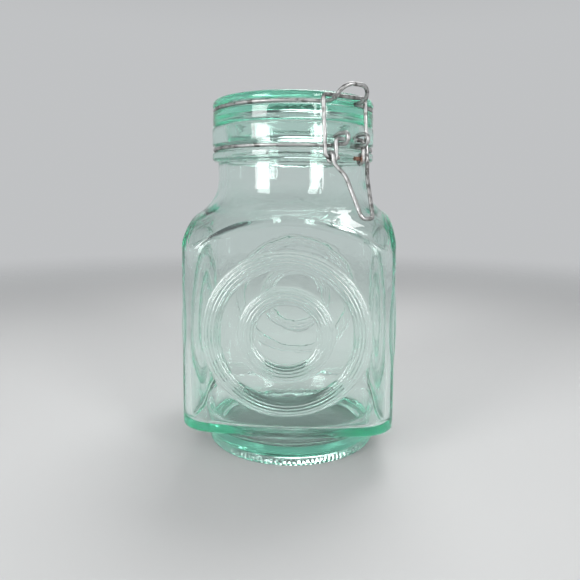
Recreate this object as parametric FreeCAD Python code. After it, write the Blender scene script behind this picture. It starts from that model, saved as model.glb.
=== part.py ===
"""Square clear glass storage jar with a wire bail clasp, shut.

Frame: origin at the centre of the foot on the surface it stands on, +Z up, the front face
towards -Y.  All sizes are in millimetres.
"""
import FreeCAD, Part
import math
import os

os.makedirs("parts", exist_ok=True)

# ---------------------------------------------------------------- driving sizes
# glass body
BODY_HALF = 62.4            # centre to the middle of each flat side
BODY_DRAFT = 0.9            # degrees that the sides lean in towards the top
BODY_CORNER = 15.8          # radius of the upright corners
WALL = 4.6                  # thickness of the wall
SHOULDER_EDGE = 4.5         # rounding where a side meets the shoulder
BASE_EDGE = 3.0             # rounding where a side meets the base
BASE_RIM_Z = 21.3           # height where the middle of a side meets the sloping base
BASE_RISE = 0.15            # slope of the base out to the corners
SHOULDER_Z = 148.3          # height where the middle of a side meets the shoulder
SHOULDER_SLOPE = 33.0       # degrees below level
SHOULDER_ROUND = 26.0       # radius of the sweep up into the neck
DOME_START = 64.0           # how far out the shoulder starts to round over to the corners
DOME_R = 60.0
DOME_TURN = 29.0            # degrees

# foot
FOOT_INSET = 6.2            # from the flat sides in to the round foot
FOOT_EDGE = 2.0
FOOT_NECK_ROUND = 4.0
FOOT_RING = 5.0             # width of the ring that the jar stands on
FOOT_HOLLOW = 3.2           # depth of the hollow inside that ring
FLOOR_Z = 10.0              # inside floor

# neck and mouth
NECK_R = 47.5
NECK_WALL = 4.5
MOUTH_STEP = 0.6            # how much wider the mouth is than the neck inside
RIM_STEP = 3.5              # how far the rim band and the bead stand out from the neck
RIM_TOP_Z = 202.0
RIM_BAND = 11.3             # height of the band above the wire groove
RIM_EDGE = 2.0
BEAD_HEIGHT = 5.0           # bead below the wire groove
BEAD_EDGE = 1.8

# pair of round ridges on each side
RIDGE_WIDTHS = (8.6, 8.3)   # outer ridge, inner ridge
RIDGE_MARGIN = 15.1         # from the edge of the side in to the outer ridge
RIDGE_GAP = 11.8            # between the two
RIDGE_DROP = 1.8            # how far their common centre is below the middle of the side
RIDGE_HEIGHT = 1.2

# wire, one gauge throughout
WIRE_R = 1.15
TIGHT_BEND = 2.5            # ordinary bend of the wire's centre line
GROOVE_PLAY = 0.2           # between a wire and the floor of its groove
NECK_GROOVE_DEPTH = 2.95
NECK_GROOVE_SPARE = 0.95    # groove past the wire, above and below
LID_GROOVE_DEPTH = 2.75
LID_GROOVE_LIP = 0.6        # how far the groove's mouth opens past the wire, each way

# lid
LID_STEP = 0.6              # how far the lid is inside the rim
LID_GAP = 0.2               # between the lid and the rim
LID_HEIGHT = 15.8
LID_EDGE = 2.8
LID_WIRE_RISE = 10.0        # from the underside of the lid's edge up to its wire
PLUG_GAP = 1.6              # between the plug and the mouth
PLUG_DEPTH = 9.0
PLUG_WALL = 5.5
LID_PLATE = 8.0             # thickness of the lid over the hollow in its underside
DISH_BORDER = 12.4          # edge of the lid round its shallow dish
DISH_DEPTH = 1.2

# clasp: places go sideways, outwards from the rim and up, in the upright plane of the clasp
CLASP_AZIMUTH = 36.0        # degrees from the front side towards +X
PIVOT_REACH = 6.5           # lever pivot in the neck wire's eyes
EYE_SIDE = 6.9              # middle of each eye
EYE_REACH = 15.2            # outermost point of each eye
EYE_PLAY = 0.65             # between the lever's pins and the eyes
EYE_TAIL_GAP = 0.9          # between an eye's tail and the rim band
NECK_WIRE_LEAVE = 20.0      # degrees from the clasp plane where the neck wire leaves its groove
THROW = 10.2                # lever pivot to link pivot
THROW_LEAN = 12.0           # degrees that the link pivot sits inside straight down
COIL_PLAY = 0.45            # between the lever's coils and the link's pins
COIL_TURN_GAP = 0.2         # between the turns of a coil
LEVER_SIDE_GAP = 0.3        # between the lever's arms and the eyes
LEVER_PIN_PAST = 1.95       # how far the lever's pins pass through the eyes
LEVER_KNEE = (6.8, -20.05)  # outwards and up from the lever pivot
LEVER_KNEE_SIDE = 7.6
LEVER_TIP = (17.1, -42.95)
LEVER_TIP_SIDE = 3.9
LEVER_TIP_BEND = 2.9
LEVER_CLEARANCE = 5.5       # least distance from the shoulder to the lever's knee and tip
LINK_SIDE_GAP = 0.5         # between the link's legs and the lever's coils
LINK_PIN_PAST = 2.75        # how far the link's pins pass through the coils
LINK_BEND = 2.4
BAR_REACH = 1.3             # link bar behind the tongue
BAR_GAP = 0.6               # between the link bar and the wires under it
TONGUE_SIDE = 10.0
TONGUE_KNEE = (6.2, 0.3)    # outwards from the rim, up from the lid wire
TONGUE_KNEE_BEND = 6.0
TONGUE_TIP = (12.2, 7.6)
TONGUE_TIP_BEND = 7.8
TONGUE_LEAVE = 22.0         # degrees from the clasp plane where the lid wire leaves its groove

# hinge at the back
HINGE_REACH = 6.2           # outwards from the rim
HINGE_DROP = 1.4            # down from the top of the rim
HINGE_PLAY = 0.35           # between the hinge bar and the lid wire's hooks
HOOK_SIDE = 7.8
HOOK_TAIL = 2.6             # how far a hook's end stands above the hinge bar's middle
RISER_GAP = 2.3             # between the hooks and the risers of the hinge bar
HINGE_LEAVE = 26.0          # degrees from the back where both wires leave their grooves

# ---------------------------------------------------------------- derived sizes
LEAN = math.tan(math.radians(BODY_DRAFT))
BODY_CORNER_REACH = (BODY_HALF - BODY_CORNER) * math.sqrt(2) + BODY_CORNER
PROFILE_OUT = BODY_CORNER_REACH + 6.0       # turned profiles run this far, past the corners
SHOULDER_FALL = -math.tan(math.radians(SHOULDER_SLOPE))
FOOT_R = BODY_HALF - FOOT_INSET
RIDGE_Z = (BASE_RIM_Z + SHOULDER_Z) / 2 - RIDGE_DROP
RIM_R = NECK_R + RIM_STEP
NECK_INSIDE_R = NECK_R - NECK_WALL
MOUTH_R = NECK_INSIDE_R + MOUTH_STEP

NECK_GROOVE_R = RIM_R - NECK_GROOVE_DEPTH
NECK_GROOVE_TOP = RIM_TOP_Z - RIM_BAND
NECK_WIRE_Z = NECK_GROOVE_TOP - NECK_GROOVE_SPARE - WIRE_R
NECK_GROOVE_LOW = NECK_WIRE_Z - WIRE_R - NECK_GROOVE_SPARE
NECK_WIRE_R = NECK_GROOVE_R + GROOVE_PLAY + WIRE_R
BEAD_LOW = NECK_GROOVE_LOW - BEAD_HEIGHT

LID_R = RIM_R - LID_STEP
LID_LOW_Z = RIM_TOP_Z + LID_GAP
LID_TOP_Z = LID_LOW_Z + LID_HEIGHT
LID_WIRE_Z = LID_LOW_Z + LID_WIRE_RISE
LID_GROOVE_R = LID_R - LID_GROOVE_DEPTH
LID_GROOVE_HALF = WIRE_R + LID_GROOVE_LIP
LID_WIRE_R = LID_GROOVE_R + GROOVE_PLAY + WIRE_R
PLUG_R = MOUTH_R - PLUG_GAP
HOLLOW_R = PLUG_R - PLUG_WALL
DISH_R = LID_R - DISH_BORDER

EYE_BEND = 2 * WIRE_R + EYE_PLAY
PIVOT_OUT = RIM_R + PIVOT_REACH
PIVOT_Z = NECK_WIRE_Z + EYE_BEND
LINK_PIVOT_OUT = PIVOT_OUT - THROW * math.sin(math.radians(THROW_LEAN))
LINK_PIVOT_Z = PIVOT_Z - THROW * math.cos(math.radians(THROW_LEAN))
COIL_R = 2 * WIRE_R + COIL_PLAY
COIL_PITCH = 2 * WIRE_R + COIL_TURN_GAP
LEVER_SIDE = EYE_SIDE + 2 * WIRE_R + LEVER_SIDE_GAP
LINK_SIDE = LEVER_SIDE + COIL_PITCH + 2 * WIRE_R + LINK_SIDE_GAP
BAR_OUT = RIM_R + BAR_REACH
BAR_Z = LID_WIRE_Z + 2 * WIRE_R + BAR_GAP
HINGE_AZIMUTH = CLASP_AZIMUTH + 180
HINGE_OUT = RIM_R + HINGE_REACH
HINGE_Z = RIM_TOP_Z - HINGE_DROP
RISER_SIDE = HOOK_SIDE + 2 * WIRE_R + RISER_GAP
FULL_BEND = 0.98            # share of the space between two corners that a half turn's bends take


# ---------------------------------------------------------------- helpers
def vec(x, y, z):
    return FreeCAD.Vector(x, y, z)


def rounded_path(points, closed=False):
    """Edges through the given (vector, bend radius) corners: straight runs and tangent arcs."""
    count = len(points)
    corners = range(count) if closed else range(1, count - 1)
    starts, ends = {}, {}
    arcs = {}
    for i in corners:
        corner, bend = points[i]
        before = (points[i - 1][0] - corner).normalize()
        after = (points[(i + 1) % count][0] - corner).normalize()
        turn = math.pi - before.getAngle(after)
        if bend <= 0 or turn < 1e-6:
            starts[i] = ends[i] = corner
            continue
        reach = bend * math.tan(turn / 2)
        towards = (before + after).normalize()
        middle = corner + towards * (bend / math.cos(turn / 2) - bend)
        starts[i], ends[i] = corner + before * reach, corner + after * reach
        arcs[i] = Part.Arc(starts[i], middle, ends[i]).toShape()
    edges = []
    last = count if closed else count - 1
    for i in range(last):
        here = ends.get(i, points[i][0])
        there = starts.get((i + 1) % count, points[(i + 1) % count][0])
        if i in arcs:
            edges.append(arcs[i])
        if here.distanceToPoint(there) > 1e-4:
            edges.append(Part.LineSegment(here, there).toShape())
    return edges


def turned(outline):
    """Solid of revolution about Z of closed (radius, height, corner radius) corners."""
    points = [(vec(r, 0, z), bend) for r, z, bend in outline]
    face = Part.Face(Part.Wire(rounded_path(points, closed=True)))
    return face.revolve(vec(0, 0, 0), vec(0, 0, 1), 360)


def square_post(skin, low, high):
    """Tapered post with rounded corners, a skin's depth inside the body's sides."""
    wide, narrow = (BODY_HALF - (z - RIDGE_Z) * LEAN - skin for z in (low, high))
    post = Part.makeWedge(-wide, low, -wide, -narrow, -narrow, wide, high, wide, narrow, narrow)
    post.rotate(vec(0, 0, 0), vec(1, 0, 0), 90)
    return fillet_where(post, BODY_CORNER - skin, lambda edge: edge.BoundBox.ZLength > 1)


def swept_wire(points):
    """Round wire whose centre line runs through (vector, bend radius) corners."""
    path = Part.Wire(rounded_path(points))
    start = points[0][0]
    along = points[1][0] - start
    ring = Part.Wire(Part.Circle(start, along, WIRE_R).toShape())
    wire = path.makePipeShell([ring], True, False)
    return wire if wire.ShapeType == "Solid" else Part.Solid(wire)


def local(side, out, up, azimuth=CLASP_AZIMUTH):
    """Point from sideways, outwards and up, in the upright plane at this azimuth."""
    turn = math.radians(azimuth)
    return vec(
        out * math.sin(turn) + side * math.cos(turn),
        -out * math.cos(turn) + side * math.sin(turn),
        up,
    )


def ring_corners(radius, height, first, last):
    """Corners of a wire that follows a circle from one azimuth to the other, in degrees."""
    pieces = max(4, math.ceil(abs(last - first) / 30))
    step = (last - first) / pieces
    reach = radius / math.cos(math.radians(step / 2))
    return [
        (local(0, reach, height, azimuth=first + (i + 0.5) * step), radius * 0.999)
        for i in range(pieces)
    ]


def ring_halves(radius, height, leave):
    """A wire ring's corners from the clasp to the hinge on the +side, and back on the other."""
    front, back, full = CLASP_AZIMUTH, HINGE_AZIMUTH, 360
    right = ring_corners(radius, height, front + leave, back - HINGE_LEAVE)
    left = ring_corners(radius, height, back + HINGE_LEAVE, front + full - leave)
    return right, left


def leaving_out(radius, turn, side):
    """How far out a wire is, at this sideways place, once it leaves its circle tangentially."""
    angle = math.radians(turn)
    return radius * math.cos(angle) + (radius * math.sin(angle) - side) * math.tan(angle)


def fillet_where(solid, radius, wanted):
    """Round the edges that the test picks out."""
    edges = [edge for edge in solid.Edges if wanted(edge)]
    return solid.makeFillet(radius, edges)


# ---------------------------------------------------------------- glass
def cone_height(out, side_z, rise, skin):
    """Height, at this distance out, of a cone that meets the middle of a side at side_z.

    The cone is moved square to itself by skin, up when that is positive.
    """
    return side_z + (out - BODY_HALF) * rise + skin * math.hypot(1, rise)


def body_profile(skin, neck_r):
    """Foot, base, shoulder and lower neck, a skin's depth inside the outer surface."""
    foot_r = FOOT_R - skin
    dome_r = DOME_R - skin
    slope, turn = math.radians(SHOULDER_SLOPE), math.radians(DOME_TURN)
    dome_out = DOME_START + dome_r * math.tan(turn / 2) * math.cos(slope)
    dome_z = cone_height(dome_out, SHOULDER_Z, SHOULDER_FALL, -skin)
    dome_end = dome_z - (PROFILE_OUT - dome_out) * math.tan(slope + turn)
    return [
        (foot_r, cone_height(foot_r, BASE_RIM_Z, BASE_RISE, skin), FOOT_NECK_ROUND + skin * 0.5),
        (PROFILE_OUT, cone_height(PROFILE_OUT, BASE_RIM_Z, BASE_RISE, skin), 0),
        (PROFILE_OUT, dome_end, 0),
        (dome_out, dome_z, dome_r),
        (neck_r, cone_height(neck_r, SHOULDER_Z, SHOULDER_FALL, -skin), SHOULDER_ROUND + skin),
    ]


def jar_glass():
    outer = turned(
        [
            (0, FOOT_HOLLOW, 0),
            (FOOT_R - FOOT_RING - 5.0, FOOT_HOLLOW, 3.0),
            (FOOT_R - FOOT_RING - 1.0, 0, 1.5),
            (FOOT_R, 0, FOOT_EDGE),
        ]
        + body_profile(0, NECK_R)
        + [
            (NECK_R, BEAD_LOW, 1.5),
            (RIM_R, BEAD_LOW, BEAD_EDGE),
            (RIM_R, NECK_GROOVE_LOW, 0.8),
            (NECK_GROOVE_R, NECK_GROOVE_LOW, 1.0),
            (NECK_GROOVE_R, NECK_GROOVE_TOP, 1.0),
            (RIM_R, NECK_GROOVE_TOP, 0.8),
            (RIM_R, RIM_TOP_Z, RIM_EDGE),
            (0, RIM_TOP_Z, 0),
        ]
    )
    outer = outer.common(square_post(0, -1, RIM_TOP_Z + 1))
    outer = round_rims(outer, BASE_EDGE, SHOULDER_EDGE, BODY_HALF)

    inner = turned(
        [
            (0, FLOOR_Z + 1.0, 0),
            (FOOT_R - WALL, FLOOR_Z, 5.0),
        ]
        + body_profile(WALL, NECK_INSIDE_R)
        + [
            (NECK_INSIDE_R, BEAD_LOW, 3.0),
            (MOUTH_R, BEAD_LOW + 4.0, 3.0),
            (MOUTH_R, RIM_TOP_Z + 1, 0),
            (0, RIM_TOP_Z + 1, 0),
        ]
    )
    inner = inner.common(square_post(WALL, 1, RIM_TOP_Z + 2))
    inner = round_rims(inner, BASE_EDGE + 1.5, SHOULDER_EDGE + 1.5, BODY_HALF - WALL)

    glass = outer.cut(inner)
    outer_edge = BODY_HALF - RIDGE_MARGIN
    for width in RIDGE_WIDTHS:
        for quarter in range(4):
            glass = glass.fuse(ridge(outer_edge - width, outer_edge, quarter * 90))
        outer_edge -= width + RIDGE_GAP
    return glass.removeSplitter()


def round_rims(solid, base_edge, shoulder_edge, half):
    """Round the edges where the post's sides and corners meet the base and the shoulder."""
    def rim(low, high):
        def wanted(edge):
            box = edge.BoundBox
            middle = edge.valueAt((edge.FirstParameter + edge.LastParameter) / 2)
            on_post = max(abs(middle.x), abs(middle.y)) > half - BODY_CORNER * 0.4
            return on_post and low < middle.z < high and box.ZLength < 25
        return wanted

    solid = fillet_where(solid, base_edge, rim(BASE_RIM_Z - 5, BASE_RIM_Z + 20))
    return fillet_where(solid, shoulder_edge, rim(SHOULDER_Z - 25, SHOULDER_Z + 5))


def ridge(low, high, turn):
    """Rounded ring standing proud of the side that faces -Y, turned about Z."""
    root = WALL / 2
    side = -BODY_HALF
    crown = vec((low + high) / 2, side - RIDGE_HEIGHT, 0)
    left, right = vec(low, side, 0), vec(high, side, 0)
    left_in, right_in = vec(low, side + root, 0), vec(high, side + root, 0)
    edges = [
        Part.Arc(left, crown, right).toShape(),
        Part.LineSegment(right, right_in).toShape(),
        Part.LineSegment(right_in, left_in).toShape(),
        Part.LineSegment(left_in, left).toShape(),
    ]
    ring = Part.Face(Part.Wire(edges)).revolve(vec(0, 0, 0), vec(0, 1, 0), 360)
    ring.rotate(vec(0, side, 0), vec(1, 0, 0), -BODY_DRAFT)
    ring.translate(vec(0, 0, RIDGE_Z))
    ring.rotate(vec(0, 0, 0), vec(0, 0, 1), turn)
    return ring


def lid_glass():
    return turned(
        [
            (0, LID_TOP_Z - LID_PLATE, 0),
            (HOLLOW_R, LID_TOP_Z - LID_PLATE - 1.0, 4.0),
            (HOLLOW_R, LID_LOW_Z - PLUG_DEPTH, 2.0),
            (PLUG_R, LID_LOW_Z - PLUG_DEPTH, 2.0),
            (PLUG_R, LID_LOW_Z, 1.0),
            (LID_R, LID_LOW_Z, 1.5),
            (LID_R, LID_WIRE_Z - LID_GROOVE_HALF, 0.8),
            (LID_GROOVE_R, LID_WIRE_Z - WIRE_R, 1.0),
            (LID_GROOVE_R, LID_WIRE_Z + WIRE_R, 1.0),
            (LID_R, LID_WIRE_Z + LID_GROOVE_HALF, 0.8),
            (LID_R, LID_TOP_Z, LID_EDGE),
            (DISH_R, LID_TOP_Z, 6.0),
            (DISH_R - 6.0, LID_TOP_Z - DISH_DEPTH, 6.0),
            (0, LID_TOP_Z - DISH_DEPTH + 0.4, 0),
        ]
    )


# ---------------------------------------------------------------- wires
def placed(points, azimuth=CLASP_AZIMUTH):
    """Corners for a wire from places given as (sideways, outwards, up, bend)."""
    return [(local(side, out, up, azimuth), bend) for side, out, up, bend in points]


def mirrored(points):
    """The same corners on the other side, in reverse order."""
    return [(-side, out, up, bend) for side, out, up, bend in reversed(points)]


def neck_wire():
    """Ring in the neck groove, with the hinge bar behind and an eye each side of the clasp."""
    outer = RIM_R + EYE_REACH - WIRE_R
    tail = RIM_R + EYE_TAIL_GAP + WIRE_R
    eye = [
        (EYE_SIDE, tail, PIVOT_Z + EYE_BEND - 1.6, 0),
        (EYE_SIDE, tail + 4.0, PIVOT_Z + EYE_BEND, 4.0),
        (EYE_SIDE, outer, PIVOT_Z + EYE_BEND, EYE_BEND * FULL_BEND),
        (EYE_SIDE, outer, NECK_WIRE_Z, EYE_BEND * FULL_BEND),
        (EYE_SIDE, leaving_out(NECK_WIRE_R, NECK_WIRE_LEAVE, EYE_SIDE), NECK_WIRE_Z, TIGHT_BEND),
    ]
    hinge = [
        (RISER_SIDE, leaving_out(NECK_WIRE_R, HINGE_LEAVE, RISER_SIDE), NECK_WIRE_Z, TIGHT_BEND),
        (RISER_SIDE, HINGE_OUT, NECK_WIRE_Z, TIGHT_BEND),
        (RISER_SIDE, HINGE_OUT, HINGE_Z, TIGHT_BEND),
    ]
    right, left = ring_halves(NECK_WIRE_R, NECK_WIRE_Z, NECK_WIRE_LEAVE)
    rear = placed(mirrored(hinge[::-1]) + hinge[::-1], HINGE_AZIMUTH)
    return swept_wire(placed(eye) + right + rear + left + placed(mirrored(eye)))


def lid_wire():
    """Ring in the lid's groove, hooked round the hinge bar behind, with the tongue in front."""
    hook_r = 2 * WIRE_R + HINGE_PLAY
    inside, outside = HINGE_OUT - hook_r, HINGE_OUT + hook_r
    hook = [
        (HOOK_SIDE, inside, HINGE_Z + HOOK_TAIL, 0),
        (HOOK_SIDE, inside, HINGE_Z - hook_r, hook_r * FULL_BEND),
        (HOOK_SIDE, outside, HINGE_Z - hook_r, hook_r * FULL_BEND),
        (HOOK_SIDE, outside, LID_WIRE_Z, TIGHT_BEND),
        (HOOK_SIDE, leaving_out(LID_WIRE_R, HINGE_LEAVE, HOOK_SIDE), LID_WIRE_Z, TIGHT_BEND),
    ]
    knee_out, knee_up = RIM_R + TONGUE_KNEE[0], LID_WIRE_Z + TONGUE_KNEE[1]
    tip_out, tip_up = RIM_R + TONGUE_TIP[0], LID_WIRE_Z + TONGUE_TIP[1]
    tongue = [
        (TONGUE_SIDE, leaving_out(LID_WIRE_R, TONGUE_LEAVE, TONGUE_SIDE), LID_WIRE_Z, TIGHT_BEND),
        (TONGUE_SIDE, knee_out, knee_up, TONGUE_KNEE_BEND),
        (TONGUE_SIDE, tip_out, tip_up, TONGUE_TIP_BEND),
    ]
    right, left = ring_halves(LID_WIRE_R, LID_WIRE_Z, TONGUE_LEAVE)
    front = placed(mirrored(tongue[::-1]) + tongue[::-1])
    start, end = placed(hook, HINGE_AZIMUTH), placed(mirrored(hook), HINGE_AZIMUTH)
    return swept_wire(start + left + front + right + end)


def clear_of_shoulder(out, up):
    """This place, or straight above it where the lever would come too near the shoulder."""
    return out, max(up, cone_height(out, SHOULDER_Z, SHOULDER_FALL, LEVER_CLEARANCE))


def lever():
    """Handle with a coil in each arm for the link, and pins that turn in the neck wire's eyes."""
    outside, inside = LINK_PIVOT_OUT + COIL_R, LINK_PIVOT_OUT - COIL_R
    above, below = LINK_PIVOT_Z + COIL_R, LINK_PIVOT_Z - COIL_R
    bend = COIL_R * FULL_BEND
    knee, tip = (clear_of_shoulder(PIVOT_OUT + out, PIVOT_Z + up) for out, up in (LEVER_KNEE, LEVER_TIP))
    arm = [
        (EYE_SIDE - WIRE_R - LEVER_PIN_PAST, PIVOT_OUT, PIVOT_Z, 0),
        (LEVER_SIDE, PIVOT_OUT, PIVOT_Z, 1.5),
        (LEVER_SIDE, outside, above + 1.0, 3.0),
        (LEVER_SIDE + 0.1 * COIL_PITCH, outside, below, bend),
        (LEVER_SIDE + 0.4 * COIL_PITCH, inside, below, bend),
        (LEVER_SIDE + 0.7 * COIL_PITCH, inside, above, bend),
        (LEVER_SIDE + COIL_PITCH, outside, above, bend),
        (LEVER_SIDE + COIL_PITCH, outside + 1.0, below - 0.5, 6.0),
        (LEVER_KNEE_SIDE, *knee, 15.0),
        (LEVER_TIP_SIDE, *tip, LEVER_TIP_BEND),
    ]
    return swept_wire(placed(arm + mirrored(arm)))


def link():
    """Rectangular bail whose ends turn in the lever's coils and whose bar holds the tongue."""
    half = [
        (LEVER_SIDE - WIRE_R - LINK_PIN_PAST, LINK_PIVOT_OUT, LINK_PIVOT_Z, 0),
        (LINK_SIDE, LINK_PIVOT_OUT, LINK_PIVOT_Z, LINK_BEND),
        (LINK_SIDE, BAR_OUT, BAR_Z, LINK_BEND),
    ]
    return swept_wire(placed(half + mirrored(half)))


PIECES = {
    "jar_glass": jar_glass,
    "lid_glass": lid_glass,
    "neck_wire": neck_wire,
    "lid_wire": lid_wire,
    "lever": lever,
    "link": link,
}
for name, make in PIECES.items():
    piece = make()
    assert piece.isValid() and len(piece.Solids) == 1, name
    piece.Solids[0].exportStep("parts/" + name + ".step")
    print(name, "%.3f cm3" % (piece.Volume / 1000), piece.BoundBox)
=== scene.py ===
import math

import bmesh
import bpy
import numpy as np
from mathutils import Matrix, Vector, noise


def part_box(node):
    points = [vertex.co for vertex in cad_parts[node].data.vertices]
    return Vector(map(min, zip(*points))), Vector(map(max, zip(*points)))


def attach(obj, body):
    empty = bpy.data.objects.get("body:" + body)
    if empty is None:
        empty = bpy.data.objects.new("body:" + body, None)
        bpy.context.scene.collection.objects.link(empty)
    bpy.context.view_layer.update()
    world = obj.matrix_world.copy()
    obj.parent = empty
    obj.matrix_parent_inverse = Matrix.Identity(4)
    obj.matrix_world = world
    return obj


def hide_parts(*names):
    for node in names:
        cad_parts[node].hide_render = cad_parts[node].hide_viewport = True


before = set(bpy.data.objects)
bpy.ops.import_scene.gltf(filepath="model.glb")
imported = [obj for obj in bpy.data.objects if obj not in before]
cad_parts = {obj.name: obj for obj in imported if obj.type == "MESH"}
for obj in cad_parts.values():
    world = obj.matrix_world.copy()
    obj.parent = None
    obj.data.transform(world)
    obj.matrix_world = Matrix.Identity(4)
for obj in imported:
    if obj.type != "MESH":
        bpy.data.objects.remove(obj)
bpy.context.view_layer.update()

MM = 0.001

# ---------------------------------------------------------------- sizes, in millimetres
BODY_HALF = 62.4                        # at the height of the ridges' centre
LEAN = math.tan(math.radians(0.9))
BODY_CORNER = 15.8
WALL = 4.6
SHOULDER_EDGE, BASE_EDGE = 4.5, 3.0
INSIDE_EDGE_MORE = 1.5                  # the inside's edges are rounder by this
BASE_RIM_Z = 21.3
BASE_RISE = 0.15
SHOULDER_Z = 148.3
SHOULDER_SLOPE = math.radians(33.0)
SHOULDER_FALL = -math.tan(SHOULDER_SLOPE)
SWEEP_R, SWEEP_REACH = 24.0, 11.0       # sweep up into the neck, and where it starts
DOME_START = 64.0
DOME_R = 60.0
FOOT_R = 56.2
FOOT_HOLLOW = 3.2                       # depth of the hollow under the foot
FOOT_RING_IN, FOOT_HOLLOW_R = 50.2, 46.2    # inner edge of the bearing ring, edge of the hollow
FLOOR_Z = 10.0
NECK_R = 47.5
NECK_INSIDE_R = 43.0
MOUTH_R = 43.6
RIM_R = 51.0
RIM_TOP_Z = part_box("jar_glass")[1].z / MM
GROOVE_R = 48.05
GROOVE_TOP_Z = RIM_TOP_Z - 11.3
GROOVE_LOW_Z = GROOVE_TOP_Z - 4.2
BEAD_LOW_Z = GROOVE_LOW_Z - 5.0
MOUTH_LOW_Z = BEAD_LOW_Z + 4.0          # where the mouth narrows to the neck inside

RIDGE_Z = 83.0
RIDGES = ((43.0, 8.6), (22.75, 8.3))    # middle radius and width of each ridge
RIDGE_HEIGHT = 1.2
RIDGE_LINE_PITCH = 1.9                  # spacing of the fine lines along a ridge
RIDGE_LINE_DEPTH = 0.12

LID_R = 50.4
LID_LOW_Z = RIM_TOP_Z + 0.2
LID_TOP_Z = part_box("lid_glass")[1].z / MM
LID_WIRE_Z = LID_LOW_Z + 10.0
LID_GROOVE_R = 47.65
PLUG_R = 42.0
HOLLOW_R = 36.5
PLUG_LOW_Z = LID_LOW_Z - 9.0
LID_PLATE = 8.0                         # thickness over the hollow
LID_GROOVE_FLOOR, LID_GROOVE_MOUTH = 1.15, 1.75     # half heights of the wire's groove
DISH_R = 38.0
DISH_DEPTH = 1.2

COLUMNS = 224                           # round the jar
FINE_COLUMNS = 2 * COLUMNS              # along the sides and on the bearing ring
LID_COLUMNS = 256
BARS = 112                              # moulded bars on the bearing ring
BAR_HEIGHT = 0.55
RUST_SPOT = (37.4, -41.3, 181.6)        # one end of the link, in its coil
AXIS = 0.01                             # radius at which an outline counts as closed


# ---------------------------------------------------------------- outlines and lathe
def rounded(corners):
    """Outline through (radius, height, bend, steps on the run before, steps on the bend)."""
    pts = [Vector((r, z)) for r, z, *_ in corners]
    out = [pts[0]]
    for i in range(1, len(pts)):
        bend, run, steps = corners[i][2:]
        here = pts[i]
        before = (pts[i - 1] - here).normalized()
        arc = [here]
        if i < len(pts) - 1 and bend > 0:
            after = (pts[i + 1] - here).normalized()
            half = before.angle(after) / 2
            reach = bend / math.tan(half)
            middle = here + (before + after).normalized() * (bend / math.sin(half))
            first, last = here + before * reach - middle, here + after * reach - middle
            sweep = math.pi - 2 * half
            sign = 1 if first.x * last.y - first.y * last.x > 0 else -1
            arc = []
            for k in range(steps + 1):
                a = sign * sweep * k / steps
                c, s = math.cos(a), math.sin(a)
                arc.append(middle + Vector((c * first.x - s * first.y, s * first.x + c * first.y)))
        start = out[-1]
        out += [start.lerp(arc[0], k / run) for k in range(1, run)]
        out += arc
    return np.array([(p.x, p.y) for p in out])


def square_angles(half, corner, count):
    """Azimuths of points evenly spaced along a rounded square."""
    flat, bend = half - corner, corner * math.pi / 2
    side = 2 * flat + bend
    azimuths = []
    for i in range(count):
        quarter, place = divmod(i / count * 4 * side, side)
        place -= side / 2
        if abs(place) <= flat:
            x, y = place, half
        else:
            a = (abs(place) - flat) / corner
            x = math.copysign(flat + corner * math.sin(a), place)
            y = flat + corner * math.cos(a)
        azimuths.append(math.atan2(x, y) + quarter * math.pi / 2)
    return np.array(azimuths)


def square_radius(azimuth, half, corner):
    """Distance from the axis to a rounded square, in the direction of this azimuth."""
    a = (azimuth + math.pi / 4) % (math.pi / 2) - math.pi / 4
    flat = half - corner
    if half * math.tan(abs(a)) <= flat:
        return half / math.cos(a)
    along = flat * (math.cos(a) + math.sin(abs(a)))
    return along + math.sqrt(along**2 - 2 * flat**2 + corner**2)


def cone_height(out, side_z, rise, skin):
    """Height of the base or shoulder cone, moved square to itself by skin."""
    return side_z + (out - BODY_HALF) * rise + skin * math.hypot(1, rise)


def skin_rows(rings):
    """Closed mesh of rings of points; a ring may have twice the points of its neighbour."""
    verts, faces, starts = [], [], []
    for ring in rings:
        starts.append(len(verts))
        verts += [tuple(p) for p in ring]
    for k in range(len(rings) - 1):
        a, b = starts[k], starts[k + 1]
        n, m = len(rings[k]), len(rings[k + 1])
        if n == 1:
            faces += [(a, b + (j + 1) % m, b + j) for j in range(m)]
        elif m == 1:
            faces += [(a + j, a + (j + 1) % n, b) for j in range(n)]
        elif n == m:
            faces += [(a + j, a + (j + 1) % n, b + (j + 1) % n, b + j) for j in range(n)]
        else:
            coarse = min(n, m)
            for j in range(coarse):
                nxt = (j + 1) % coarse
                f0, f1, f2 = 2 * j, 2 * j + 1, (2 * j + 2) % (2 * coarse)
                if n < m:
                    tris = ((a + j, b + f1, b + f0), (a + j, a + nxt, b + f1), (a + nxt, b + f2, b + f1))
                else:
                    tris = ((b + j, a + f0, a + f1), (b + j, a + f1, b + nxt), (b + nxt, a + f1, a + f2))
                faces += tris
    return verts, faces


def make_piece(name, verts, faces, body, node, material):
    mesh = bpy.data.meshes.new(name)
    mesh.from_pydata([tuple(c * MM for c in v) for v in verts], [], faces)
    bm = bmesh.new()
    bm.from_mesh(mesh)
    bmesh.ops.recalc_face_normals(bm, faces=bm.faces)
    bm.to_mesh(mesh)
    bm.free()
    mesh.polygons.foreach_set("use_smooth", [True] * len(mesh.polygons))
    mesh.materials.append(material)
    piece = bpy.data.objects.new(name, mesh)
    bpy.context.scene.collection.objects.link(piece)
    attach(piece, body)
    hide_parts(node)
    return piece


# ---------------------------------------------------------------- jar
def side_reach(azimuth, height, skin):
    """Distance from the axis to the leaning side, a skin's depth inside it."""
    half = BODY_HALF - (height - RIDGE_Z) * LEAN - skin
    return square_radius(azimuth, half, BODY_CORNER - skin)


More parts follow.
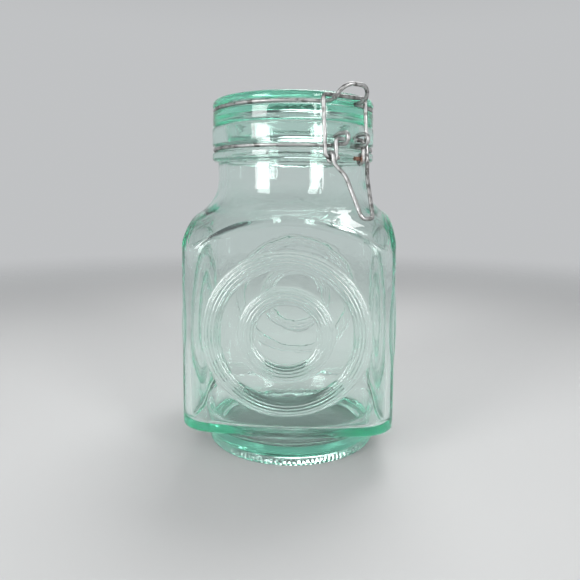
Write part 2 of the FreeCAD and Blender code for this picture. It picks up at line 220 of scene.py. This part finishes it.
def shoulder_height(out, skin, edge=0.0):
    """Height of the shoulder inside by skin, or of the curve that runs a further edge below it."""
    dome_r = DOME_R - skin
    middle_out = DOME_START - dome_r * math.sin(SHOULDER_SLOPE)
    middle_z = cone_height(DOME_START, SHOULDER_Z, SHOULDER_FALL, -skin) - dome_r * math.cos(SHOULDER_SLOPE)
    if out > DOME_START - edge * math.sin(SHOULDER_SLOPE):
        return middle_z + math.sqrt((dome_r - edge) ** 2 - (out - middle_out) ** 2)
    return cone_height(out, SHOULDER_Z, SHOULDER_FALL, -skin - edge)


def shoulder_outline(azimuth, skin, edge, sweep_out):
    """Rounded edge from the side on to the shoulder, then the shoulder as far as the neck's sweep."""
    steps = 8
    middle_z = SHOULDER_Z
    for _ in range(5):
        middle_out = side_reach(azimuth, middle_z, skin) - edge
        middle_z = shoulder_height(middle_out, skin, edge)
    slope = math.atan((middle_z - shoulder_height(middle_out + 0.1, skin, edge)) / 0.1)
    turns = np.linspace(math.atan(LEAN), math.pi / 2 - slope, steps + 1)
    bend = [(middle_out + edge * math.cos(a), middle_z + edge * math.sin(a)) for a in turns]
    outs = np.linspace(bend[-1][0], sweep_out, steps + 1)[1:]
    return bend + [(out, shoulder_height(out, skin)) for out in outs]


def body_outline(azimuth, foot, skin, edges, neck_r, side_steps):
    """One section of the body from the foot up to the neck's sweep, a skin's depth inside."""
    base_edge, shoulder_edge = edges
    base_z = BASE_RIM_Z
    for _ in range(4):
        base_z = cone_height(side_reach(azimuth, base_z, skin), BASE_RIM_Z, BASE_RISE, skin)
    shoulder = shoulder_outline(azimuth, skin, shoulder_edge, neck_r + SWEEP_REACH)
    side = foot + [
        (side_reach(azimuth, base_z, skin), base_z, base_edge, 4, 6),
        (*shoulder[0], 0, side_steps, 0),
    ]
    return [rounded(side), shoulder[1:]]


def ridge_rise(distance):
    """Height of the round ridges at this distance from their centre."""
    for middle, width in RIDGES:
        t = abs(distance - middle) / (width / 2)
        if t < 1:
            return RIDGE_HEIGHT * (1 - t**4) ** 0.6
    return 0.0


def jar_outline(azimuth):
    """Section of the jar at one azimuth: outside from the axis up, over the mouth, inside down."""
    foot = [
        (AXIS, FOOT_HOLLOW, 0, 1, 1),
        (FOOT_HOLLOW_R, FOOT_HOLLOW, 3.0, 6, 3),
        (FOOT_RING_IN, 0, 1.5, 1, 3),
        (FOOT_R, 0, 2.0, 5, 5),
        (FOOT_R, cone_height(FOOT_R, BASE_RIM_Z, BASE_RISE, 0), 4.0, 5, 5),
    ]
    mouth = [
        (NECK_R + SWEEP_REACH, shoulder_height(NECK_R + SWEEP_REACH, 0), 0, 1, 1),
        (NECK_R, cone_height(NECK_R, SHOULDER_Z, SHOULDER_FALL, 0), SWEEP_R, 1, 14),
        (NECK_R, BEAD_LOW_Z, 1.5, 4, 3),
        (RIM_R, BEAD_LOW_Z, 1.8, 1, 4),
        (RIM_R, GROOVE_LOW_Z, 0.8, 2, 3),
        (GROOVE_R, GROOVE_LOW_Z, 1.0, 1, 3),
        (GROOVE_R, GROOVE_TOP_Z, 1.0, 1, 3),
        (RIM_R, GROOVE_TOP_Z, 0.8, 1, 3),
        (RIM_R, RIM_TOP_Z, 2.0, 4, 5),
        (MOUTH_R, RIM_TOP_Z, 1.6, 3, 4),
        (MOUTH_R, MOUTH_LOW_Z, 0, 4, 1),
    ]
    in_foot = FOOT_R - WALL
    inside_foot = [
        (AXIS, FLOOR_Z + 1, 0, 1, 1),
        (in_foot, FLOOR_Z, 5.0, 12, 6),
        (in_foot, cone_height(in_foot, BASE_RIM_Z, BASE_RISE, WALL), 6.3, 2, 5),
    ]
    inside_neck = [
        (NECK_INSIDE_R + SWEEP_REACH, shoulder_height(NECK_INSIDE_R + SWEEP_REACH, WALL), 0, 1, 1),
        (NECK_INSIDE_R, cone_height(NECK_INSIDE_R, SHOULDER_Z, SHOULDER_FALL, -WALL), SWEEP_R, 1, 12),
        (NECK_INSIDE_R, BEAD_LOW_Z, 3.0, 3, 3),
        (MOUTH_R, MOUTH_LOW_Z, 0, 1, 1),
    ]
    edges = BASE_EDGE, SHOULDER_EDGE
    inside_edges = BASE_EDGE + INSIDE_EDGE_MORE, SHOULDER_EDGE + INSIDE_EDGE_MORE
    outside = body_outline(azimuth, foot, 0, edges, NECK_R, 104)
    outside.append(rounded(mouth)[1:])
    inside = body_outline(azimuth, inside_foot, WALL, inside_edges, NECK_INSIDE_R, 26)
    inside.append(rounded(inside_neck)[1:-1])
    outside, inside = np.concatenate(outside), np.concatenate(inside)
    return np.concatenate([outside, inside[::-1]]), len(outside)


def outside_point(azimuth, out, height, bearing):
    """Point of the outer surface, with the ridges on the sides and the bars under the foot."""
    x, y = out * math.sin(azimuth), -out * math.cos(azimuth)
    if bearing:
        wave = 0.5 + 0.5 * math.cos(azimuth * BARS)
        return x, y, max(height, BAR_HEIGHT * (1 - wave**0.6))
    if BASE_RIM_Z < height < SHOULDER_Z:
        side = round(azimuth / (math.pi / 2)) * math.pi / 2
        rise = ridge_rise(math.hypot(out * math.sin(azimuth - side), height - RIDGE_Z))
        return x + rise * math.sin(side), y - rise * math.cos(side), height
    return x, y, height


def inside_point(azimuth, out, height):
    """Point of the inner surface, which is a little uneven below the bead as blown glass is."""
    x, y = out * math.sin(azimuth), -out * math.cos(azimuth)
    if height > BEAD_LOW_Z:
        return x, y, height
    uneven = 0.35 * noise.noise(Vector((x, y, height)) * 0.035)
    uneven += 0.12 * noise.noise(Vector((x, y, height * 1.4)) * 0.1)
    scale = 1 + uneven / max(out, 20)
    return x * scale, y * scale, height + (uneven if out < 50 and height < 20 else 0)


def make_jar(material):
    azimuths = square_angles(BODY_HALF, BODY_CORNER, FINE_COLUMNS)
    outlines = [jar_outline(azimuth) for azimuth in azimuths]
    outside = outlines[0][1]
    sections = np.array([outline for outline, _ in outlines])
    rings = []
    for k in range(sections.shape[1]):
        outs, heights = sections[:, k].T
        bearing = k < outside and heights.max() < 0.45 and outs.max() > 49
        on_side = k < outside and BASE_RIM_Z + 8 < heights.min() and heights.max() < SHOULDER_Z - 12
        step = 1 if bearing or on_side else 2
        places = list(zip(azimuths, outs, heights))[::step]
        if outs.max() <= AXIS:
            rings.append([(0, 0, heights[0])])
        elif k < outside:
            rings.append([outside_point(*place, bearing) for place in places])
        else:
            rings.append([inside_point(*place) for place in places])
    verts, faces = skin_rows(rings)
    return make_piece("square_jar", verts, faces, "jar", "jar_glass", material)


def lid_point(turn, out, height):
    """Point of the lid; the underside of its plate is slightly wavy."""
    x, y = out * math.sin(turn), -out * math.cos(turn)
    wavy = out < HOLLOW_R - 3 and height < LID_TOP_Z - LID_PLATE + 3
    return x, y, height + (0.05 * noise.noise(Vector((x, y, height)) * 0.05) if wavy else 0)


def make_lid(material):
    outline = rounded([
        (AXIS, LID_TOP_Z - LID_PLATE, 0, 1, 1),
        (HOLLOW_R, LID_TOP_Z - LID_PLATE - 1, 4.0, 8, 5),
        (HOLLOW_R, PLUG_LOW_Z, 2.0, 4, 5),
        (PLUG_R, PLUG_LOW_Z, 2.0, 1, 5),
        (PLUG_R, LID_LOW_Z, 1.0, 3, 4),
        (LID_R, LID_LOW_Z, 1.5, 3, 5),
        (LID_R, LID_WIRE_Z - LID_GROOVE_MOUTH, 0.8, 3, 4),
        (LID_GROOVE_R, LID_WIRE_Z - LID_GROOVE_FLOOR, 1.0, 1, 5),
        (LID_GROOVE_R, LID_WIRE_Z + LID_GROOVE_FLOOR, 1.0, 1, 5),
        (LID_R, LID_WIRE_Z + LID_GROOVE_MOUTH, 0.8, 1, 4),
        (LID_R, LID_TOP_Z, 2.8, 2, 7),
        (DISH_R, LID_TOP_Z, 6.0, 3, 4),
        (DISH_R - 6, LID_TOP_Z - DISH_DEPTH, 6.0, 1, 4),
        (AXIS, LID_TOP_Z - DISH_DEPTH + 0.4, 0, 8, 1),
    ])
    turns = [2 * math.pi * j / LID_COLUMNS for j in range(LID_COLUMNS)]
    rings = [
        [(0, 0, z)] if r <= AXIS else [lid_point(turn, r, z) for turn in turns]
        for r, z in outline
    ]
    verts, faces = skin_rows(rings)
    return make_piece("glass_lid", verts, faces, "lid", "lid_glass", material)


# ---------------------------------------------------------------- materials
class Nodes:
    """Short way to build a node tree."""

    def __init__(self, name):
        self.material = bpy.data.materials.new(name)
        self.material.use_nodes = True
        self.tree = self.material.node_tree
        self.tree.nodes.clear()
        self.output = self.add("ShaderNodeOutputMaterial")
        self.coords = self.add("ShaderNodeTexCoord").outputs["Object"]

    def add(self, kind, **settings):
        node = self.tree.nodes.new(kind)
        for key, value in settings.items():
            setattr(node, key, value)
        return node

    def wire(self, source, target):
        self.tree.links.new(source, target)

    def noise(self, scale, detail=3.0, roughness=0.5, vector=None):
        node = self.add("ShaderNodeTexNoise")
        node.inputs["Scale"].default_value = scale
        node.inputs["Detail"].default_value = detail
        node.inputs["Roughness"].default_value = roughness
        self.wire(vector or self.coords, node.inputs["Vector"])
        return node.outputs["Fac"]

    def span(self, value, low, high, to_low=0.0, to_high=1.0, kind="LINEAR"):
        node = self.add("ShaderNodeMapRange", interpolation_type=kind)
        self.wire(value, node.inputs["Value"])
        for key, number in (("From Min", low), ("From Max", high), ("To Min", to_low), ("To Max", to_high)):
            node.inputs[key].default_value = number
        return node.outputs["Result"]

    def mix(self, factor, first, second):
        node = self.add("ShaderNodeMix", data_type="RGBA")
        self.wire(factor, node.inputs["Factor"])
        for value, socket in ((first, node.inputs["A"]), (second, node.inputs["B"])):
            if isinstance(value, tuple):
                socket.default_value = (*value, 1.0)
            else:
                self.wire(value, socket)
        return node.outputs["Result"]

    def math(self, operation, first, second=0.0):
        node = self.add("ShaderNodeMath", operation=operation)
        for value, socket in zip((first, second), node.inputs):
            if isinstance(value, float):
                socket.default_value = value
            else:
                self.wire(value, socket)
        return node.outputs[0]

    def bump(self, height, strength, distance, normal=None):
        node = self.add("ShaderNodeBump")
        node.inputs["Strength"].default_value = strength
        node.inputs["Distance"].default_value = distance
        self.wire(height, node.inputs["Height"])
        if normal:
            self.wire(normal, node.inputs["Normal"])
        return node.outputs["Normal"]


def ridge_lines(n):
    """Height of the fine steps that the mould leaves along the round ridges, outside only."""
    place = n.add("ShaderNodeSeparateXYZ")
    n.wire(n.coords, place.inputs[0])
    x, y = (n.math("ABSOLUTE", place.outputs[axis]) for axis in "XY")
    along, up = n.math("MINIMUM", x, y), n.math("SUBTRACT", place.outputs["Z"], RIDGE_Z * MM)
    squares = n.math("ADD", n.math("MULTIPLY", along, along), n.math("MULTIPLY", up, up))
    distance = n.math("SQRT", squares)
    outer = n.math("GREATER_THAN", n.math("MAXIMUM", x, y), (BODY_HALF - WALL / 2) * MM)
    lines = 0.0
    for middle, width in RIDGES:
        off = n.math("SUBTRACT", distance, middle * MM)
        wave = n.math("COSINE", n.math("MULTIPLY", off, 2 * math.pi / (RIDGE_LINE_PITCH * MM)))
        fade = n.span(n.math("ABSOLUTE", off), width / 2 * MM, (width / 2 - 0.8) * MM)
        lines = n.math("ADD", n.math("MULTIPLY", wave, fade), lines)
    return n.math("MULTIPLY", outer, lines)


def glass_material(name):
    n = Nodes(name)
    shader = n.add("ShaderNodeBsdfPrincipled")
    shader.inputs["IOR"].default_value = 1.52
    shader.inputs["Transmission Weight"].default_value = 1.0
    tint = n.mix(n.noise(40), (0.985, 1.0, 0.995), (0.965, 1.0, 0.985))
    n.wire(tint, shader.inputs["Base Color"])
    n.wire(n.span(n.noise(60, 4), 0.45, 0.75, 0.0, 0.015), shader.inputs["Roughness"])
    swirl = n.bump(n.noise(70, 2), 0.25, 0.0006)
    fine = n.bump(n.noise(420, 2), 0.10, 0.00015, swirl)
    n.wire(n.bump(ridge_lines(n), 1.0, RIDGE_LINE_DEPTH * MM, fine), shader.inputs["Normal"])
    absorb = n.add("ShaderNodeVolumeAbsorption")
    absorb.inputs["Color"].default_value = (0.10, 0.86, 0.66, 1.0)
    absorb.inputs["Density"].default_value = 12.5
    n.wire(shader.outputs["BSDF"], n.output.inputs["Surface"])
    n.wire(absorb.outputs["Volume"], n.output.inputs["Volume"])
    return n.material


def wire_material(name):
    n = Nodes(name)
    shader = n.add("ShaderNodeBsdfPrincipled")
    zinc = n.mix(n.noise(900, 4, 0.6), (0.34, 0.34, 0.34), (0.58, 0.58, 0.57))
    tarnish = n.span(n.noise(220, 5, 0.65), 0.50, 0.62)
    grey = n.mix(tarnish, zinc, (0.15, 0.148, 0.140))
    from_spot = n.add("ShaderNodeVectorMath", operation="DISTANCE")
    n.wire(n.coords, from_spot.inputs[0])
    from_spot.inputs[1].default_value = [place * MM for place in RUST_SPOT]
    near = n.span(from_spot.outputs["Value"], 0.0065, 0.0020, 0.0, 0.35)
    rust_mask = n.span(n.math("ADD", n.noise(330, 6, 0.7), near), 0.66, 0.76)
    n.wire(n.mix(rust_mask, grey, (0.24, 0.12, 0.08)), shader.inputs["Base Color"])
    n.wire(n.span(rust_mask, 0, 1, 0.92, 0.1), shader.inputs["Metallic"])
    n.wire(n.span(n.noise(500, 4), 0.3, 0.7, 0.28, 0.62), shader.inputs["Roughness"])
    n.wire(n.bump(n.noise(1500, 5, 0.7), 0.35, 0.0002), shader.inputs["Normal"])
    n.wire(shader.outputs["BSDF"], n.output.inputs["Surface"])
    return n.material


# ---------------------------------------------------------------- stage, lights, camera
BACKDROP = (0.53, 0.54, 0.55)
CEILING = (0.10, 0.105, 0.11)
SOFT_LIGHT = (0.95, 0.98, 1.0)


def floor_material():
    n = Nodes("pale_floor")
    shader = n.add("ShaderNodeBsdfPrincipled")
    n.wire(n.mix(n.noise(3), (0.58, 0.58, 0.58), (0.60, 0.60, 0.595)), shader.inputs["Base Color"])
    n.wire(n.span(n.noise(8), 0.3, 0.7, 0.80, 0.90), shader.inputs["Roughness"])
    away = n.add("ShaderNodeVectorMath", operation="LENGTH")
    n.wire(n.coords, away.inputs[0])
    fade = n.span(away.outputs["Value"], 0.4, 1.25, kind="SMOOTHSTEP")
    clear = n.add("ShaderNodeBsdfTransparent")
    both = n.add("ShaderNodeMixShader")
    n.wire(fade, both.inputs["Fac"])
    n.wire(shader.outputs["BSDF"], both.inputs[1])
    n.wire(clear.outputs["BSDF"], both.inputs[2])
    n.wire(both.outputs["Shader"], n.output.inputs["Surface"])
    return n.material


def make_floor():
    mesh = bpy.data.meshes.new("floor")
    size = 3.0
    corners = [(x * size, y * size, 0) for x, y in ((-1, -1), (1, -1), (1, 1), (-1, 1))]
    mesh.from_pydata(corners, [], [(0, 1, 2, 3)])
    floor = bpy.data.objects.new("floor", mesh)
    floor.location.z = -0.0002
    mesh.materials.append(floor_material())
    bpy.context.scene.collection.objects.link(floor)


def make_world():
    """Pale backdrop under a darker ceiling for camera, mirror and glass rays; soft light for the rest."""
    world = bpy.data.worlds.new("studio")
    bpy.context.scene.world = world
    world.use_nodes = True
    tree = world.node_tree
    tree.nodes.clear()
    add, wire = tree.nodes.new, tree.links.new

    path = add("ShaderNodeLightPath")
    seen = path.outputs["Is Camera Ray"]
    for kind in ("Is Glossy Ray", "Is Transmission Ray"):
        either = add("ShaderNodeMath")
        either.operation = "MAXIMUM"
        wire(seen, either.inputs[0])
        wire(path.outputs[kind], either.inputs[1])
        seen = either.outputs[0]

    way, up, ramp = add("ShaderNodeTexCoord"), add("ShaderNodeSeparateXYZ"), add("ShaderNodeValToRGB")
    wire(way.outputs["Generated"], up.inputs[0])
    wire(up.outputs["Z"], ramp.inputs["Fac"])
    ramp.color_ramp.interpolation = "EASE"
    for stop, (height, color) in zip(ramp.color_ramp.elements, ((0.25, BACKDROP), (0.65, CEILING))):
        stop.position, stop.color = height, (*color, 1.0)

    light, backdrop = add("ShaderNodeBackground"), add("ShaderNodeBackground")
    light.inputs["Color"].default_value = (*SOFT_LIGHT, 1.0)
    light.inputs["Strength"].default_value = 0.45
    wire(ramp.outputs["Color"], backdrop.inputs["Color"])
    mix = add("ShaderNodeMixShader")
    wire(seen, mix.inputs["Fac"])
    wire(light.outputs[0], mix.inputs[1])
    wire(backdrop.outputs[0], mix.inputs[2])
    wire(mix.outputs[0], add("ShaderNodeOutputWorld").inputs["Surface"])


def area_light(name, azimuth, elevation, distance, width, height, power):
    """Soft box aimed at the jar; angles in degrees, azimuth 0 in front and positive to the right."""
    data = bpy.data.lights.new(name, "AREA")
    data.shape, data.size, data.size_y, data.energy = "RECTANGLE", width, height, power
    data.spread = math.radians(70)          # keeps the floor beside the lamp from glaring
    lamp = bpy.data.objects.new(name, data)
    a, e = math.radians(azimuth), math.radians(elevation)
    back = Vector((math.sin(a) * math.cos(e), -math.cos(a) * math.cos(e), math.sin(e)))
    lamp.location = Vector((0, 0, 0.11)) + back * distance
    lamp.rotation_euler = back.to_track_quat("Z", "Y").to_euler()
    bpy.context.scene.collection.objects.link(lamp)


def make_camera():
    data = bpy.data.cameras.new("camera")
    data.lens = 33.65
    data.clip_start = 0.01
    camera = bpy.data.objects.new("camera", data)
    look = Vector((-0.0526, 0.9835, -0.1734)).normalized()
    turn = look.to_track_quat("-Z", "Y").to_matrix() @ Matrix.Rotation(math.radians(0.33), 3, "Z")
    camera.matrix_world = Matrix.Translation((0.0179, -0.3582, 0.1613)) @ turn.to_4x4()
    bpy.context.scene.collection.objects.link(camera)
    bpy.context.scene.camera = camera


glass = glass_material("mint_glass")
make_jar(glass)
make_lid(glass)
galvanised = wire_material("galvanised_wire")
for name in ("neck_wire", "lid_wire", "lever", "link"):
    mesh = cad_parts[name].data
    mesh.materials.clear()
    mesh.materials.append(galvanised)

make_floor()
make_world()
area_light("left_box", -43, 15, 1.3, 0.5, 0.75, 2.0)
area_light("right_box", 40, 15, 1.3, 0.4, 0.75, 1.6)
area_light("top_box", 160, 62, 1.4, 0.9, 0.6, 2.0)
make_camera()
scene = bpy.context.scene
scene.view_settings.view_transform = "Standard"
# light crosses many walls of thick glass before it leaves
scene.cycles.max_bounces = scene.cycles.transmission_bounces = scene.cycles.glossy_bounces = 24
